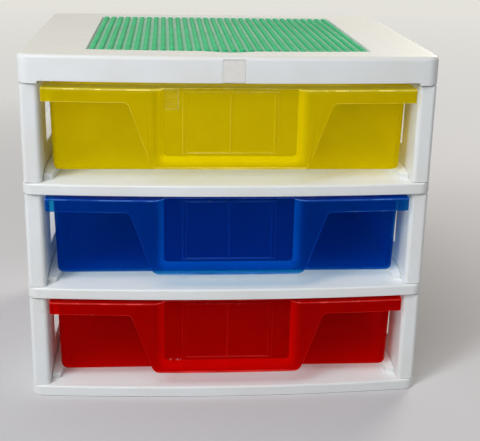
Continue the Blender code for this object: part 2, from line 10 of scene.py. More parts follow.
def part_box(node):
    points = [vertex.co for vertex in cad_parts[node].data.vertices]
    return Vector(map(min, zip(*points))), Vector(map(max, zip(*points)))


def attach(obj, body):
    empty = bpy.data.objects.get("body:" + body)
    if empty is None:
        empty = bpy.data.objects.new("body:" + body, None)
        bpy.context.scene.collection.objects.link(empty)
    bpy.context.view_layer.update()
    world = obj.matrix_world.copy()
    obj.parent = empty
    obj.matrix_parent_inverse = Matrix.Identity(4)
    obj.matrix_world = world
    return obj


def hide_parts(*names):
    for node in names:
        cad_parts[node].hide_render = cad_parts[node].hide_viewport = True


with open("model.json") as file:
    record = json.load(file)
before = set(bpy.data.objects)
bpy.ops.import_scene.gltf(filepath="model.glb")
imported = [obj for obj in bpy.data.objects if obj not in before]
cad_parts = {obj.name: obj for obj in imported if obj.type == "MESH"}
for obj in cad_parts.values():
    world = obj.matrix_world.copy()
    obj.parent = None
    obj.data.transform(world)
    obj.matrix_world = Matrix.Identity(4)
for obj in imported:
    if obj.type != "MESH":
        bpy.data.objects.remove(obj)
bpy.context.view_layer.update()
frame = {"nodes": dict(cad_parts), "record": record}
mm = 0.001
tiers = ("bottom", "middle", "top")
print("frame loaded:", len(frame["nodes"]), "nodes")

# What all the mouldings share, in millimetres where it is a size
mould = {
    "frontBow": 9, "wall": 2.5, "overlap": 0.6, "past": 3, "near": 1, "bowFacets": 64, "cornerFacets": 10,
    "edgeFacets": 5, "edgeSharp": 30, "edgeSteps": 2, "edgeWeight": 50, "weld": 0.002, "flatTurn": 0.0005,
    "roundShare": 0.3, "uprightEdge": 0.15, "facingUp": 0.9,
}

shelfLow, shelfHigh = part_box("shelf_bottom")
sideLow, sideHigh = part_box("side_frame_bottom_right")
drawerLow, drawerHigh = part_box("drawer_bottom")
topLow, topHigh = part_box("top_panel")
plateLow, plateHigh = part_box("stud_plate")
labelLow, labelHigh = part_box("front_label")
halfWidth = shelfHigh.x
backY = shelfHigh.y
frontBow = mould["frontBow"] * mm
cornerY = shelfLow.y + frontBow  # where the bowed front meets the sides
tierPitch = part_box("shelf_middle")[0].z - shelfLow.z
wall = mould["wall"] * mm
overlap = mould["overlap"] * mm
past = mould["past"] * mm
near = mould["near"] * mm


def bowAt(x):
    return frontBow * (1 - (x / halfWidth) ** 2)


def arcPoints(centreX, centreY, radius, startDeg, endDeg, facets=mould["cornerFacets"]):
    angles = [math.radians(startDeg + (endDeg - startDeg) * step / facets) for step in range(facets + 1)]
    return [(centreX + radius * math.cos(angle), centreY + radius * math.sin(angle)) for angle in angles]


def bowedFront(half, frontY, radius):  # from the left side round to the right side
    reach = half - radius
    count = mould["bowFacets"]
    points = arcPoints(-reach, frontY + radius, radius, 180, 270)
    points += [(-reach + 2 * reach * step / count, frontY) for step in range(1, count)]
    points += arcPoints(reach, frontY + radius, radius, 270, 360)
    return [(x, y - bowAt(x)) for x, y in points]


def bowedOutline(half, frontY, rearY, frontRadius, rearRadius):
    reach = half - rearRadius
    outline = bowedFront(half, frontY, frontRadius)
    outline += arcPoints(reach, rearY - rearRadius, rearRadius, 0, 90)
    outline += arcPoints(-reach, rearY - rearRadius, rearRadius, 90, 180)
    return outline


def filletPolygon(corners, facets=mould["cornerFacets"]):  # corners are (x, y, radius), anticlockwise
    points = []
    for index, (x, y, radius) in enumerate(corners):
        if radius == 0:
            points.append((x, y))
            continue
        here = Vector((x, y))
        before = (Vector(corners[index - 1][:2]) - here).normalized()
        after = (Vector(corners[(index + 1) % len(corners)][:2]) - here).normalized()
        halfAngle = before.angle(after) / 2
        centre = here + (before + after).normalized() * radius / math.sin(halfAngle)
        start = here + before * radius / math.tan(halfAngle) - centre
        end = here + after * radius / math.tan(halfAngle) - centre
        sweep = start.angle_signed(end)
        for step in range(facets + 1):
            turned = start.copy()
            turned.rotate(Matrix.Rotation(-sweep * step / facets, 2))
            points.append(tuple(centre + turned))
    return points


def rectangle(lowX, highX, lowY, highY, radius, facets=mould["cornerFacets"]):
    corners = ((lowX, lowY), (highX, lowY), (highX, highY), (lowX, highY))
    return filletPolygon([(x, y, radius) for x, y in corners], facets)


def addMesh(name, work):
    bmesh.ops.recalc_face_normals(work, faces=work.faces)
    mesh = bpy.data.meshes.new(name)
    work.to_mesh(mesh)
    work.free()
    made = bpy.data.objects.new(name, mesh)
    bpy.context.scene.collection.objects.link(made)
    return made


def ringStack(rings):  # rings of as many points as each other, closed at both ends
    work = bmesh.new()
    loops = [[work.verts.new(point) for point in ring] for ring in rings]
    for low, high in zip(loops, loops[1:]):
        for index in range(len(low)):
            following = (index + 1) % len(low)
            work.faces.new((low[index], low[following], high[following], high[index]))
    work.faces.new(list(reversed(loops[0])))
    work.faces.new(loops[-1])
    return addMesh("stack", work)


def prism(outline, low, high, along="Z"):
    at = "XYZ".index(along)
    return ringStack([[(*point[:at], level, *point[at:]) for point in outline] for level in (low, high)])


def blocks(boxes):  # separate cuboids in one mesh
    work = bmesh.new()
    for low, high in boxes:
        low, high = Vector(low), Vector(high)
        made = bmesh.ops.create_cube(work, size=1)
        sized = Matrix.Translation((low + high) / 2) @ Matrix.Diagonal((*(high - low), 1))
        bmesh.ops.transform(work, matrix=sized, verts=made["verts"])
    return addMesh("blocks", work)


def bakedMesh(piece):  # with its modifiers applied
    bpy.context.view_layer.update()
    return bpy.data.meshes.new_from_object(piece.evaluated_get(bpy.context.evaluated_depsgraph_get()))


def combine(body, tool, operation):
    step = body.modifiers.new("combine", "BOOLEAN")
    step.object = tool
    step.operation = operation
    step.solver = "EXACT"
    mesh = bakedMesh(body)
    body.modifiers.clear()
    body.data = mesh
    bpy.data.objects.remove(tool)


def cut(body, tool):
    combine(body, tool, "DIFFERENCE")


def join(body, tool):
    combine(body, tool, "UNION")


def cleanMesh(body):
    work = bmesh.new()
    work.from_mesh(body.data)
    bmesh.ops.remove_doubles(work, verts=work.verts, dist=mould["weld"] * mm)
    bmesh.ops.dissolve_degenerate(work, edges=work.edges, dist=mould["weld"] * mm)
    bmesh.ops.dissolve_limit(work, angle_limit=mould["flatTurn"], verts=work.verts, edges=work.edges)
    bmesh.ops.recalc_face_normals(work, faces=work.faces)
    work.to_mesh(body.data)
    work.free()


def finished(piece, width, sharpDeg=mould["edgeSharp"], segments=mould["edgeSteps"]):  # with soft edges
    piece.data.shade_smooth()
    for _ in range(2):
        piece.data.materials.append(None)
    edge = piece.modifiers.new("moulded edge", "BEVEL")
    edge.width = width
    edge.segments = segments
    edge.limit_method = "ANGLE"
    edge.angle_limit = math.radians(sharpDeg)
    edge.use_clamp_overlap = False
    edge.material = 1  # tells the rounded strips from the faces between them
    shade = piece.modifiers.new("shading", "WEIGHTED_NORMAL")
    shade.keep_sharp = False
    shade.weight = mould["edgeWeight"]
    mesh = bakedMesh(piece)
    bpy.data.objects.remove(piece)
    markEdges(mesh)
    return mesh


def markEdges(mesh):  # marks the strips of outer edges, where painted highlights and wear go, least on upright ones
    work = bmesh.new()
    work.from_mesh(mesh)
    mark = work.faces.layers.float.new("outerEdge")
    for face in work.faces:
        if face.material_index == 1:
            beside = {other for edge in face.edges for other in edge.link_faces if other != face}
            centre = face.calc_center_median()
            rays = [(other.calc_center_median() - centre).normalized() for other in beside]
            rise = sum(ray.dot(face.normal) for ray in rays)
            level = mould["uprightEdge"] + (1 - mould["uprightEdge"]) * abs(face.normal.z)
            face[mark] = level if rise < 0 else 0.0
        face.material_index = 0
    work.to_mesh(mesh)
    work.free()


def placePiece(name, mesh, material, node, lift=0):
    own = mesh.copy()
    own.name = name
    own.transform(Matrix.Translation((0, 0, lift)))
    own.materials.clear()
    own.materials.append(material)
    piece = bpy.data.objects.new(name, own)
    bpy.context.scene.collection.objects.link(piece)
    body = next(key for key, members in frame["record"]["behaviour"]["bodies"].items() if node in members)
    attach(piece, body)
    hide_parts(node)
    return piece


def linear(hexColour):
    parts = [int(hexColour[start:start + 2], 16) / 255 for start in (0, 2, 4)]
    return (*[part / 12.92 if part <= 0.04045 else ((part + 0.055) / 1.055) ** 2.4 for part in parts], 1)


def addNode(tree, kind, settings=None, output=0):  # a socket among the settings is linked, the rest are set
    kind, _, operation = kind.partition(" ")  # such as Math MULTIPLY
    node = tree.nodes.new("ShaderNode" + kind)
    if operation:
        node.operation = operation
    for key, value in (settings or {}).items():  # a key that is a number counts the inputs from 0
        if isinstance(value, bpy.types.NodeSocket):
            tree.links.new(node.inputs[key], value)
        elif isinstance(key, int) or key in node.inputs:
            node.inputs[key].default_value = value
        else:
            setattr(node, key, value)
    return node.outputs[output] if len(node.outputs) else node


def newMaterial(name):
    material = bpy.data.materials.new(name)
    material.use_nodes = True
    material.node_tree.nodes.clear()
    return material, partial(addNode, material.node_tree)


def pattern(sizeMm, detail):  # settings of a noise whose blotches are about this large
    return {"Scale": 1 / (sizeMm * mm), "Detail": detail, "Roughness": 0.55}


def steps(lowIn, highIn, lowOut=0.0, highOut=1.0):  # settings of a ramp between two levels
    return {1: lowIn, 2: highIn, 3: lowOut, 4: highOut}


def blotches(add, place, sizeMm, detail, *ramp):  # such noise, spread between the levels of a ramp
    noise = add("TexNoise", {"Vector": place, **pattern(sizeMm, detail)})
    return add("MapRange", {0: noise, **steps(*ramp)})


def grained(add, place, sizeMm, detail, strength, depthMm):  # a surface that such noise raises
    noise = add("TexNoise", {"Vector": place, **pattern(sizeMm, detail)})
    return add("Bump", {"Height": noise, "Strength": strength, "Distance": depthMm * mm})


def layered(add, base, *layers):  # a colour under layers, each with its share and its colour
    colour = linear(base)
    for share, tone in layers:
        tone = linear(tone) if isinstance(tone, str) else tone
        colour = add("Mix", {"data_type": "RGBA", 0: share, 6: colour, 7: tone}, 2)
    return colour


# Injection-moulded white polypropylene: soft satin gloss, faintly uneven, scuffed where hands go,
# with painted shade on the top panel's top, darker and warmer, and painted light whitening upward faces
whiteFinish = {
    "clean": "EFF3F3", "aged": "EAEBE7", "scuffed": "B4B1A6", "paintedBayLight": "F9FBFA", "paintedTopShade": "D6D4CA",
    "paintedTopLight": "E4E2D9", "paintedTopLightHalf": 150, "cloud": (70, 3, 0.35, 0.7), "cloudShare": 0.12,
    "patch": (60, 1, 0.55, 0.7), "scuff": (16, 6, 0.64, 0.74, 0, 0.3), "scuffStretch": (0.35, 1, 1),
    "polish": (12, 4, 0.3, 0.7, 0.34, 0.48), "grain": (0.9, 3, 0.35, 0.02),
    "facingUp": steps(0.2, 0.95), "flatSteps": steps(0.8, 0.98),
}


def whitePolypropylene(name, paintedTopShade):
    look = whiteFinish
    material, add = newMaterial(name)
    place = add("TexCoord", {}, "Object")
    cloud = blotches(add, place, *look["cloud"])
    upward = add("SeparateXYZ", {0: add("TexCoord", {}, "Normal")}, "Z")
    # painted shade on the top faces, darker and warmer, lifted by painted light towards the right
    if paintedTopShade:
        half = look["paintedTopLightHalf"] * mm
        across = add("SeparateXYZ", {0: place}, "X")
        across = add("MapRange", {0: across, **steps(-half, half)})
        away = add("Math MULTIPLY_ADD", {0: cloud, 1: look["cloudShare"], 2: across})
        paintedLightMask = add("MapRange", {0: upward, **look["facingUp"]})
        tone = layered(add, look["paintedTopShade"], (away, look["paintedTopLight"]))
    else:  # painted light: upward faces, such as the floors below the drawers, are painted whiter
        paintedLightMask = add("MapRange", {0: upward, **look["flatSteps"]})
        tone = look["paintedBayLight"]
    patch = blotches(add, place, *look["patch"])
    smear = add("Mapping", {"Vector": place, "Scale": look["scuffStretch"]})
    smear = blotches(add, smear, *look["scuff"])
    scuff = add("Math MULTIPLY", {0: patch, 1: smear})
    colour = layered(add, look["clean"], (cloud, look["aged"]), (paintedLightMask, tone), (scuff, look["scuffed"]))
    polish = blotches(add, place, *look["polish"])
    bump = grained(add, place, *look["grain"])
    shader = add("BsdfPrincipled", {"Base Color": colour, "Roughness": polish, "IOR": 1.49, "Normal": bump})
    add("OutputMaterial", {"Surface": shader})
    return material


# Drawer: bin, rim flange, bowed lip, and the apron with its scoop, in millimetres
drawer = {
    "wall": 2, "draft": 1.8, "cornerRadius": 8, "footRadius": 4, "footFacets": 6, "flangeWide": 4.7,
    "flangeCorner": 3, "setback": 20, "lipHigh": 11.9, "apronLift": 8.3, "apronHalf": 91.3,
    "apronTaperShare": 0.356, "apronFillet": 5, "apronCorner": 8.5, "dishHalf": 69.8, "dishFloorHalf": 60,
    "dishFootEdge": 2.1, "dishFootSlope": 8.8, "dishDeep": 7, "dishRadius": 11, "dishFloorRadius": 2.5,
    "dishRoll": (32, 80), "dishOver": 0.04, "ridgeHigh": 0.7, "ridgeLine": 1.2, "ridgeBorder": 3.8,
    "ridgeHalf": 43, "ridgeTopGap": 2.5, "ridgeFootGap": 1.8, "edge": 0.5, "edgeSharp": 22, "edgeSteps": 3,
    # how much painted glow each part of the front gets, and how fast that grows on a bend
    "paintedGlowShares": {
        "lip": 0.4, "apron": 0.34, "dish": 0.12, "roll": 1.92, "ridge": 0.6, "most": 0.84, "flange": 1,
    },
    "paintedGlowFlat": 0.02, "footStrip": 1.5,
}

# Clear tinted polypropylene for the drawers: light passes through in its own colour, and the
# moulded-in haze scatters some, so the far wall shows only dimly
drawerFinishes = {
    # glow is the colour of the painted glow, rim that of the painted highlights and glints
    "top": {
        "piece": "yellowDrawer", "slot": "drawer_yellow", "name": "clear yellow polypropylene",
        "tint": "F8EE10", "castTint": "FFFFFB", "frontTint": "FFFCEA", "sideTint": "F6EAC0",
        "haze": "ECD600", "glow": "FFEA00", "rim": "FFF8B0", "seeThrough": 0.5, "throughHaze": 0.25,
        "castShare": 0.98, "frontShare": 0.97,
    },
    "middle": {
        "piece": "blueDrawer", "slot": "drawer_blue", "name": "clear blue polypropylene",
        "tint": "70DCEC", "castTint": "FAFDFF", "frontTint": "DAF0FC", "sideTint": "DCECFC",
        "haze": "0030A2", "glow": "007AFF", "rim": "7FB8F0", "seeThrough": 0.72, "throughHaze": 0.35,
        "castShare": 0.98, "frontShare": 0.92, "wornAt": (-47, 9.2, 17),
    },
    "bottom": {
        "piece": "redDrawer", "slot": "drawer_red", "name": "clear red polypropylene",
        "tint": "FF2018", "castTint": "FFF9F9", "frontTint": "FDEFF2", "sideTint": "FADCD4",
        "haze": "C80300", "glow": "FF0600", "rim": "FF8078", "seeThrough": 0.62, "throughHaze": 0.45,
        "castShare": 0.93, "frontShare": 0.83, "wornAt": (-50, 19.6, 8),
    },
}

# What the three share, in millimetres. Blotches: size, detail, ramp; wave: size, detail, strength, depth
clearFinish = {
    "glossLevel": 0.06, "polish": (9, 3, 0.3, 0.7, 0.14, 0.22), "wave": (60, 1, 0.1, 0.3),
    "cloud": (45, 2, 0.3, 0.7, -0.03, 0.03), "edgeOnPower": 1.6, "sideSteps": steps(0.3, 0.9, 0, 0.25),
    "frontSteps": steps(0.2, 0.3), "bendFrom": 0.4, "bendTo": 0.75, "evenShare": 0.8, "paintedGlowAddedShare": 0.2,
    "flangeSteps": steps(0.85, 1, 0, 0.65), "paintedLineGlow": 0.3, "lineWide": 1.1, "lineRise": 0.7,
    "uprightBelow": 0.9, "paintedHighlightRun": (40, 2, 0.4, 0.6, 0.35, 1), "paintedHighlightShare": 0.8,
    "paintedGlint": (16, 3, 0.54, 0.57, 0, 0.6), "paintedGlintWide": 0.7, "footFade": 16, "paintedFootGlowShare": 0.22,
    "outerFrom": 115, "outerTo": 160, "paintedSideGlowShare": 0.16, "backLit": 0.8, "frontBackLit": 0.47,
    "wear": (7, 4, 0.62, 0.66, 0, 0.75), "wearColour": "F2F4F0", "wornHigh": 0.8,
    "speck": (2.2, 3, 0.54, 0.58, 0, 0.75), "wornSteps": steps(0.05, 0.1),
}


def wallMarks(add):  # what the material asks about a point, and about the light that reaches it
    place = add("TexCoord", {}, "Object")
    gathered = add("Attribute", {"attribute_name": "gathered"}, "Fac")
    sideward = add("SeparateXYZ", {0: add("TexCoord", {}, "Normal")}, "X")
    diffuse, shadow = [add("LightPath", {}, "Is " + kind + " Ray") for kind in ("Diffuse", "Shadow")]
    return {
        "place": place, "across": add("SeparateXYZ", {0: place}, "X"),
        "height": add("SeparateXYZ", {0: place}, "Z"), "gathered": gathered,
        "outerEdge": add("Attribute", {"attribute_name": "outerEdge"}, "Fac"),
        "inFront": add("MapRange", {0: gathered, **clearFinish["frontSteps"]}),
        "sideward": add("Math ABSOLUTE", {0: sideward}),
        "casting": add("Math ADD", {"use_clamp": True, 0: diffuse, 1: shadow}),
    }


def heldShare(add, look, at):  # densest edge-on; light that only passes keeps most of its strength
    cloud = blotches(add, at["place"], *look["cloud"])
    facing = add("LayerWeight", {"Blend": 0.5}, "Facing")
    edgeOn = add("Math POWER", {0: facing, 1: look["edgeOnPower"]})
    seen = add("MapRange", {0: edgeOn, **steps(0, 1, 1 - look["seeThrough"], 1)})
    seen = add("Math ADD", {"use_clamp": True, 0: seen, 1: cloud})
    held = add("MapRange", {0: at["inFront"], **steps(0, 1, 1 - look["castShare"], 1 - look["frontShare"])})
    sideHeld = add("MapRange", {0: at["sideward"], **look["sideSteps"]})
    held = add("Math MAXIMUM", {0: held, 1: sideHeld})
    return add("Mix", {"data_type": "FLOAT", 0: at["casting"], 2: seen, 3: held})


def edgeLines(add, footZ, headZ, at):  # painted highlights: thin edges, the apron's foot and the lip's top are painted paler in lines, with painted glints in dashes on the lip
    look = clearFinish
    upright = add("Math LESS_THAN", {0: at["gathered"], 1: look["uprightBelow"]})
    upright = add("Math MULTIPLY", {0: upright, 1: at["inFront"]})
    lines = at["outerEdge"]
    for lineZ in (footZ + (drawer["apronLift"] + look["lineRise"]) * mm, headZ):  # apron's foot, lip's top
        line = add("Math COMPARE", {0: at["height"], 1: lineZ, 2: look["lineWide"] * mm})
        line = add("Math MULTIPLY", {0: line, 1: upright})
        lines = add("Math MAXIMUM", {0: lines, 1: line})
    run = blotches(add, at["place"], *look["paintedHighlightRun"])
    rim = add("Math MULTIPLY", {0: lines, 1: run})
    rim = add("MapRange", {0: rim, **steps(0, 1, 0, look["paintedHighlightShare"])})
    # painted glints in dashes along the lip's top
    paintedGlint = blotches(add, at["place"], *look["paintedGlint"])
    onLip = add("Math COMPARE", {0: at["height"], 1: headZ, 2: look["paintedGlintWide"] * mm})
    onLip = add("Math MULTIPLY", {0: onLip, 1: upright})
    return rim, add("Math MULTIPLY", {0: paintedGlint, 1: onLip})


def rubbedMarks(add, wornAt, footZ, at):  # edges rubbed white here and there, and one worn patch in front
    look = clearFinish
    rubbed = blotches(add, at["place"], *look["wear"])
    rubbed = add("Math MULTIPLY", {0: at["outerEdge"], 1: rubbed})
    if not wornAt:
        return rubbed
    wornX, wornZ, halfWide = [value * mm for value in wornAt]
    level = add("Math COMPARE", {0: at["height"], 1: footZ + wornZ, 2: look["wornHigh"] * mm})
    worn = add("Math COMPARE", {0: at["across"], 1: wornX, 2: halfWide})
    speck = blotches(add, at["place"], *look["speck"])
    front = add("MapRange", {0: at["gathered"], **look["wornSteps"]})
    for mask in (level, speck, front):
        worn = add("Math MULTIPLY", {0: worn, 1: mask})
    return add("Math MAXIMUM", {0: rubbed, 1: worn})


def hazyWall(add, tier, look, at):  # what the haze scatters back and lets through, with painted glow and painted highlights added
    footZ, headZ = [corner.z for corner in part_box("drawer_" + tier)]
    rim, paintedGlint = edgeLines(add, footZ, headZ, at)
    rubbed = rubbedMarks(add, look.get("wornAt"), footZ, at)
    # painted glow, brighter towards the foot and towards the outer sides
    low = add("MapRange", {0: at["height"], **steps(
        footZ, footZ + look["footFade"] * mm, look["paintedFootGlowShare"], 0)})
    paintedSideGlow = add("Math ABSOLUTE", {0: at["across"]})
    paintedSideGlow = add("MapRange", {0: paintedSideGlow, **steps(
        look["outerFrom"] * mm, look["outerTo"] * mm, 0, look["paintedSideGlowShare"])})
    paintedGlowMix = add("Math MAXIMUM", {0: low, 1: paintedSideGlow})
    paintedGlowMix = add("Math MAXIMUM", {0: at["gathered"], 1: paintedGlowMix})
    # over the haze: painted glow, painted highlight lines, painted glints, then the rubbed wear
    colour = layered(add, look["haze"], (paintedGlowMix, look["glow"]), (rim, look["rim"]), (paintedGlint, look["rim"]),
                     (rubbed, look["wearColour"]))
    # light spreads inside the wall, so the rolled sides of the scoop shade nearly as the front does
    bendFrom, bendTo = look["bendFrom"], look["bendTo"]
    bump = grained(add, at["place"], *look["wave"])
    forward = add("VectorTransform", {
        "vector_type": "NORMAL", "convert_from": "OBJECT", "convert_to": "WORLD", 0: (0, -1, 0)})
    evened = add("MapRange", {0: at["gathered"], **steps(bendFrom, bendTo, 0, look["evenShare"])})
    evenly = add("Mix", {"data_type": "VECTOR", 0: evened, 4: bump, 5: forward}, 1)
    evenly = add("VectorMath NORMALIZE", {0: evenly})
    polish = blotches(add, at["place"], *look["polish"])
    back = add("BsdfPrincipled", {
        "Base Color": colour, "Roughness": polish, "IOR": 1.49, "Normal": evenly,
        "Specular IOR Level": look["glossLevel"]})
    through = add("BsdfTranslucent", {"Color": colour})
    thinFront = add("MapRange", {0: paintedGlowMix, **steps(0, bendFrom, look["throughHaze"], look["frontBackLit"])})
    thinEdge = add("MapRange", {0: at["outerEdge"], **steps(0, 1, 0, look["backLit"])})
    share = add("Math MAXIMUM", {0: thinFront, 1: thinEdge})
    wall = add("MixShader", {0: share, 1: back, 2: through})
    # painted glow: those sides, the flange and the painted highlight lines get extra light in the glow
    # colour, though nothing there is a lamp
    paintedGlowAdded = add("MapRange", {0: at["gathered"], **steps(bendFrom, bendTo, 0, look["paintedGlowAddedShare"])})
    paintedFlangeGlow = add("MapRange", {0: at["gathered"], **look["flangeSteps"]})
    paintedLineGlow = add("MapRange", {0: rim, **steps(0, 1, 0, look["paintedLineGlow"])})
    for extra in (paintedFlangeGlow, paintedLineGlow):
        paintedGlowAdded = add("Math ADD", {0: paintedGlowAdded, 1: extra})
    colour = layered(add, "000000", (paintedGlowAdded, look["glow"]), (paintedGlint, look["rim"]))
    front = add("BsdfDiffuse", {"Color": colour, "Normal": evenly})
    rear = add("BsdfTranslucent", {"Color": colour})
    return add("AddShader", {0: wall, 1: add("AddShader", {0: front, 1: rear})})


def clearPolypropylene(tier):
    look = {**clearFinish, **drawerFinishes[tier]}
    material, add = newMaterial(look["name"])
    at = wallMarks(add)
    castTint = layered(add, look["castTint"], (at["inFront"], look["frontTint"]),
                       (at["sideward"], look["sideTint"]))
    clear = add("BsdfTransparent", {"Color": layered(add, look["tint"], (at["casting"], castTint))})
    surface = add("MixShader", {0: heldShare(add, look, at), 1: clear, 2: hazyWall(add, tier, look, at)})
    add("OutputMaterial", {"Surface": surface})
    return material


# Stud plate: a thin sheet with 32 by 32 plain studs, in millimetres
studPlate = {
    "pitch": 8, "count": 32, "sheet": 1.4, "sheetEdge": 0.25, "corner": 1.5, "cornerFacets": 6,
    "studRadius": 2.43, "studEdge": 0.22, "studSink": 0.05, "sides": 20, "edgeSharp": 50,
}

# Green ABS, moulded and bright: a soft gloss on the studs, and a painted reflection in pale grey on the sheet
# between them
studFinish = {
    "face": "0ABA74", "shade": "08AE6A", "paintedSheen": "A2B4A9", "paintedSheenShare": 0.66, "paintedSheenLow": 0.05,
    "paintedSheenHigh": 0.4, "gloss": 0.3, "cloud": (40, 3, 0.35, 0.65), "paintedLightMask": (14, 4, 0.3, 0.6, 0.55, 1),
    "polish": (6, 3, 0.3, 0.7, 0.33, 0.41), "grain": (0.6, 2, 0.2, 0.01),
}


def greenAbs():
    look = studFinish
    material, add = newMaterial("moulded green ABS")
    place = add("TexCoord", {}, "Object")
    cloud = blotches(add, place, *look["cloud"])
    sheetZ = plateLow.z + studPlate["sheet"] * mm
    # painted reflection: pale grey on the sheet, low between the studs, in patches
    low = add("MapRange", {0: add("SeparateXYZ", {0: place}, "Z"), **steps(
        sheetZ + look["paintedSheenLow"] * mm, sheetZ + look["paintedSheenHigh"] * mm, 1, 0)})
    paintedLightMask = blotches(add, place, *look["paintedLightMask"])
    paintedSheenMask = add("Math MULTIPLY", {0: low, 1: paintedLightMask})
    paintedSheenMask = add("MapRange", {0: paintedSheenMask, **steps(0, 1, 0, look["paintedSheenShare"])})
    colour = layered(add, look["face"], (cloud, look["shade"]), (paintedSheenMask, look["paintedSheen"]))
    polish = blotches(add, place, *look["polish"])
    bump = grained(add, place, *look["grain"])
    shader = add("BsdfPrincipled", {
        "Base Color": colour, "Roughness": polish, "IOR": 1.54, "Specular IOR Level": look["gloss"],
        "Normal": bump})
    add("OutputMaterial", {"Surface": shader})
    return material


# Vinyl film, left blank: flatter and a little warmer than the plastic round it
filmFinish = {
    "face": "EEECE6", "stain": "E7E4DC", "roughness": 0.5, "cloud": (5, 4, 0.35, 0.75),
    "fibre": (0.5, 3, 0.2, 0.02),
}


def vinylFilm():
    look = filmFinish
    material, add = newMaterial("blank vinyl film")
    place = add("TexCoord", {}, "Object")
    cloud = blotches(add, place, *look["cloud"])
    colour = layered(add, look["face"], (cloud, look["stain"]))
    bump = grained(add, place, *look["fibre"])
    shader = add("BsdfPrincipled", {
        "Base Color": colour, "Roughness": look["roughness"], "IOR": 1.5, "Normal": bump})
    add("OutputMaterial", {"Surface": shader})
    return material


# Old clear tape: nearly invisible film, milky where air and dust have crept under its edges
tapeFinish = {
    "milk": "FFF4A0", "roughness": 0.3, "streak": (5, 3, 0.5, 0.7, 0.015, 0.07),
    "streakStretch": (0.3, 1, 1.6), "lifted": (4, 2, 0.35, 0.6, 0.25, 0.8),
}


def clearTape():
    look = tapeFinish
    material, add = newMaterial("old clear tape")
    place = add("TexCoord", {}, "Object")
    border = add("Attribute", {"attribute_name": "border"}, "Fac")
    streak = add("Mapping", {"Vector": place, "Scale": look["streakStretch"]})
    streak = blotches(add, streak, *look["streak"])
    lifted = blotches(add, place, *look["lifted"])
    share = add("Mix", {"data_type": "FLOAT", 0: border, 2: streak, 3: lifted})
    milk = add("BsdfPrincipled", {
        "Base Color": linear(look["milk"]), "Roughness": look["roughness"], "IOR": 1.48})
    surface = add("MixShader", {0: share, 1: add("BsdfTransparent"), 2: milk})
    add("OutputMaterial", {"Surface": surface})
    return material


white = whitePolypropylene("moulded white polypropylene", False)
paintedTopShadeWhite = whitePolypropylene("white polypropylene with painted top shade", True)
green = greenAbs()
film = vinylFilm()
tape = clearTape()
clearPlastics = {tier: clearPolypropylene(tier) for tier in tiers}
print("materials made:", len(bpy.data.materials))


def roundedBlock(half, frontY, rearY, radius, levels):  # levels are (height, inset) from the foot up
    rings = []
    for height, inset in levels:
        outline = bowedOutline(half - inset, frontY + inset, rearY - inset, radius - inset, radius - inset)
        rings.append([(x, y, height) for x, y in outline])
    return ringStack(rings)


def roundedLevels(low, high, lowRounding, highRounding):
    count = mould["edgeFacets"]
    turns = [math.pi / 2 * step / count for step in range(count + 1)]
    rounds = [(1 - math.cos(angle), 1 - math.sin(angle)) for angle in turns]
    levels = [(low + lowRounding * up, lowRounding * inward) for up, inward in rounds]
    return levels + [(high - highRounding * down, highRounding * inward) for inward, down in rounds]


def hollowLevels(low, under, rounding):  # the space below a floor, rounded where it meets the skirt
    part = rounding * mould["roundShare"]
    skirt = [(low - past, wall), (under - rounding, wall)]
    return skirt + [(under - part, wall + part), (under, wall + rounding)]


# Ribs, seats and tongues below each shelf and the top panel, in millimetres
seat = {"ribWide": 1.8, "ribGap": 0.3, "tongueLong": 16, "plugGap": 0.5, "postDeep": 50}


def channelRibs(base, under):
    ribX = sideLow.x + seat["ribGap"] * mm
    ribWide = seat["ribWide"] * mm
    tongueInset = (seat["postDeep"] - seat["tongueLong"]) / 2 * mm
    starts = (sideLow.y + tongueInset, sideHigh.y - tongueInset - seat["tongueLong"] * mm)
    long, cross = [], []
    for side in (-1, 1):
        inner, outer = sorted((side * ribX, side * (ribX + ribWide)))
        long.append(((inner, cornerY + wall / 2, base), (outer, backY - wall / 2, under + overlap)))
        fromX, toX = sorted((side * (ribX + ribWide / 2), side * (halfWidth - wall / 2)))
        for start in starts:
            end = start + seat["tongueLong"] * mm
            for low in (start - seat["plugGap"] * mm - ribWide, end + seat["plugGap"] * mm):
                cross.append(((fromX, low, base), (toX, low + ribWide, under + overlap)))
    return long, cross


# Shelf: a tray turned down, with drawer rails on top, in millimetres
shelf = {
    "cornerRadius": 10, "topRounding": 1.8, "footRounding": 0.5, "hollowRounding": 1, "floor": 2.5,
    "ribWide": 1.8, "ribDeep": 2, "ribsLong": 3, "ribsAcross": 2, "railHigh": 7.5, "noseHigh": 5,
    "setback": 13.5, "leadLong": 50, "rampLong": 20, "leadShare": 0.54, "railReach": 8.5, "stopHigh": 15,
    "stopLong": 6, "stopGap": 0.5, "gap": 0.3, "edge": 0.45,
}


def railBody(side, railInner, railOuter, frontY, rearY, height):
    leadX = railInner + (railOuter - railInner) * shelf["leadShare"]
    rounding = shelf["topRounding"] * mm
    points = [
        (railOuter, frontY, 0), (railOuter, rearY, 0), (railInner, rearY, 0),
        (railInner, frontY + shelf["leadLong"] * mm, shelf["leadLong"] * mm), (leadX, frontY, rounding),
    ]
    foot = height - overlap
    railTop = height + shelf["railHigh"] * mm
    rail = prism([(side * x, y) for x, y in filletPolygon(points)], foot, railTop)
    nose = height + shelf["noseHigh"] * mm
    rise = (shelf["railHigh"] - shelf["noseHigh"]) / shelf["rampLong"] * past
    wedge = [
        (frontY - past, nose - rise), (frontY + shelf["rampLong"] * mm + past, railTop + rise),
        (frontY - past, railTop + rise),
    ]
    cut(rail, prism(wedge, -halfWidth, halfWidth, "X"))
    inner, outer = sorted((side * railInner, side * railOuter))
    stopFront = rearY - shelf["stopLong"] * mm
    join(rail, blocks([((inner, stopFront, foot), (outer, rearY, height + shelf["stopHigh"] * mm))]))
    return rail


